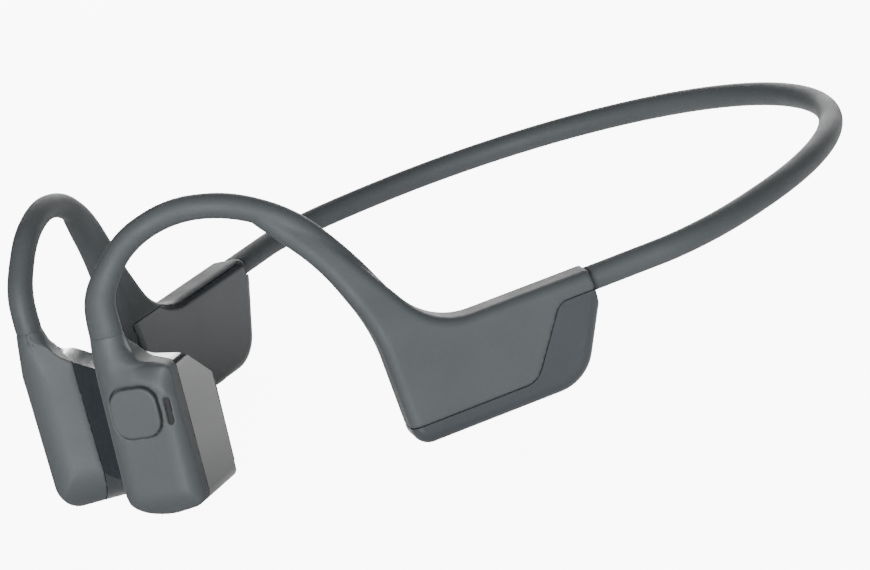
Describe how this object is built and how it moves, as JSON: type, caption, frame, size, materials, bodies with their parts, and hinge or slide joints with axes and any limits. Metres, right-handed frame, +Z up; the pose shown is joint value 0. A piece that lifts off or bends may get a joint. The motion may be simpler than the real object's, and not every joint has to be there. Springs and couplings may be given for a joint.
{
  "type": "bone conduction headphones",
  "caption": "Wireless open-ear bone conduction headphones: a springy neckband joins two pods, whose ear hooks carry speakers that rest on the cheekbones.",
  "frame": {"origin": "under the middle of the object's box, on the surface it stands on", "axes": "+X to the wearer's left, -Y to the front where the speakers are, +Z up; the neckband lies level at the back"},
  "size_m": [0.0972, 0.1188, 0.0384],
  "materials": {
    "soft_silicone": "matte soft-touch silicone, dark grey",
    "soft_cover": "matte soft-touch coated plastic, dark grey",
    "gloss_shell": "glossy dark grey plastic",
    "black_plastic": "moulded black plastic",
    "black_rubber": "smooth black silicone rubber",
    "spring_metal": "drawn springy metal wire",
    "cable_jacket": "smooth black cable jacket",
    "copper": "lacquered copper winding",
    "bright_metal": "nickel plated metal",
    "dark_steel": "blackened steel",
    "cell_foil": "satin foil pouch",
    "circuit_board": "green solder mask",
    "chip_black": "black moulded package",
    "light_lens": "frosted clear plastic"
  },
  "bodies": {
    "left_side": {"left_battery": "cell_foil", "left_button_board": "circuit_board", "left_button_switch": "chip_black", "left_contact_pad": "black_rubber", "left_ear_hook": "soft_silicone", "left_hook_cable": "cable_jacket", "left_hook_wire": "spring_metal", "left_mic_mesh": "dark_steel", "left_microphone": "chip_black", "left_pod_lid": "black_plastic", "left_pod_shell": "gloss_shell", "left_speaker_cover": "soft_cover", "left_speaker_housing": "gloss_shell", "left_suspension_plate": "dark_steel", "left_transducer_magnet": "bright_metal", "left_transducer_yoke": "dark_steel", "left_voice_coil": "copper"},
    "right_side": {"neckband_cable": "cable_jacket", "neckband_cover": "soft_silicone", "neckband_wire": "spring_metal", "right_contact_pad": "black_rubber", "right_ear_hook": "soft_silicone", "right_hook_cable": "cable_jacket", "right_hook_wire": "spring_metal", "right_main_board": "circuit_board", "right_main_chip": "chip_black", "right_mic_mesh": "dark_steel", "right_microphone": "chip_black", "right_pod_lid": "black_plastic", "right_pod_shell": "gloss_shell", "right_port_shell": "bright_metal", "right_port_tongue": "black_plastic", "right_shield_can": "bright_metal", "right_speaker_cover": "soft_cover", "right_speaker_housing": "gloss_shell", "right_status_light": "light_lens", "right_suspension_plate": "dark_steel", "right_transducer_magnet": "bright_metal", "right_transducer_yoke": "dark_steel", "right_voice_coil": "copper", "right_volume_switches": "circuit_board"},
    "multifunction_button": {"left_multifunction_button": "soft_cover"},
    "volume_up_button": {"right_volume_up_button": "soft_cover"},
    "volume_down_button": {"right_volume_down_button": "soft_cover"}
  },
  "joints": [
    {"name": "band_flex", "type": "hinge", "parent": "right_side", "child": "left_side", "pos_m": [0, 0.0578, 0.0121], "axis": [0, 0, 1], "range_deg": [-1.5, 40], "stiffness_Nm_per_rad": 0.25, "deforming": ["neckband_cable", "neckband_cover", "neckband_wire"]},
    {"name": "multifunction_press", "type": "slide", "parent": "left_side", "child": "multifunction_button", "axis": [-0.5771, 0.815, -0.0523], "range_m": [0, 0.0003], "stiffness_N_per_m": 900},
    {"name": "volume_up_press", "type": "slide", "parent": "right_side", "child": "volume_up_button", "axis": [0, 0, 1], "range_m": [0, 0.00025], "stiffness_N_per_m": 900},
    {"name": "volume_down_press", "type": "slide", "parent": "right_side", "child": "volume_down_button", "axis": [0, 0, 1], "range_m": [0, 0.00025], "stiffness_N_per_m": 900}
  ]
}
